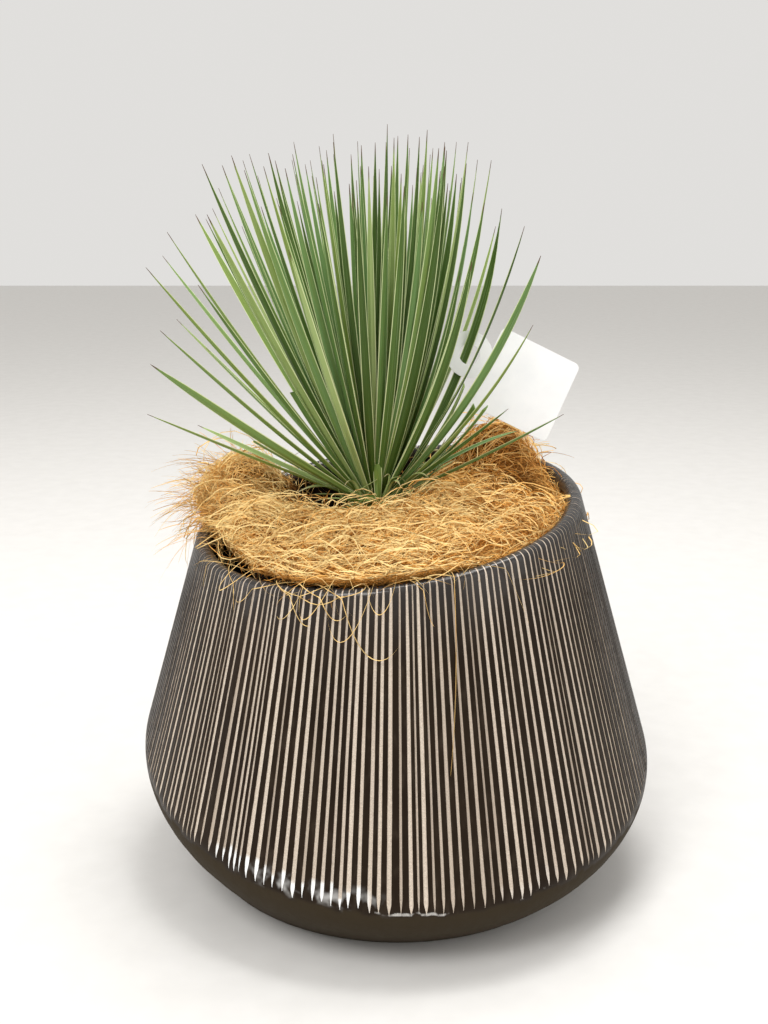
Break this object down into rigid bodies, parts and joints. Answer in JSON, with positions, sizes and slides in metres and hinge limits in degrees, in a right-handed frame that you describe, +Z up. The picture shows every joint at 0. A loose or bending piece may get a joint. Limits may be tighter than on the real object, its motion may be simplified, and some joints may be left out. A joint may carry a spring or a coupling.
{
  "type": "potted beaked yucca",
  "caption": "Beaked yucca with a fan of stiff narrow leaves in a dark grooved planter with a slanting rim, mulched with coconut fibre, with a blank label card.",
  "frame": {"origin": "centre of the planter's flat foot", "axes": "+Z up, -Y towards the front of the planter, where its rim is lowest"},
  "size_m": [0.4685, 0.4693, 0.6607],
  "materials": {
    "planter": "satin charcoal slip, carved through to matt taupe clay",
    "grow_pot": "matt black moulded plastic",
    "soil": "dark crumbly potting soil",
    "stem": "rough fibrous stem",
    "leaves": "waxy green blades with pale yellow margins",
    "mulch": "loose golden coconut fibre",
    "label_card": "smooth white card"
  },
  "bodies": {
    "root": {"planter": "planter", "grow_pot": "grow_pot", "soil": "soil", "stem": "stem", "leaves": "leaves", "mulch": "mulch", "label_card": "label_card"}
  },
  "joints": []
}
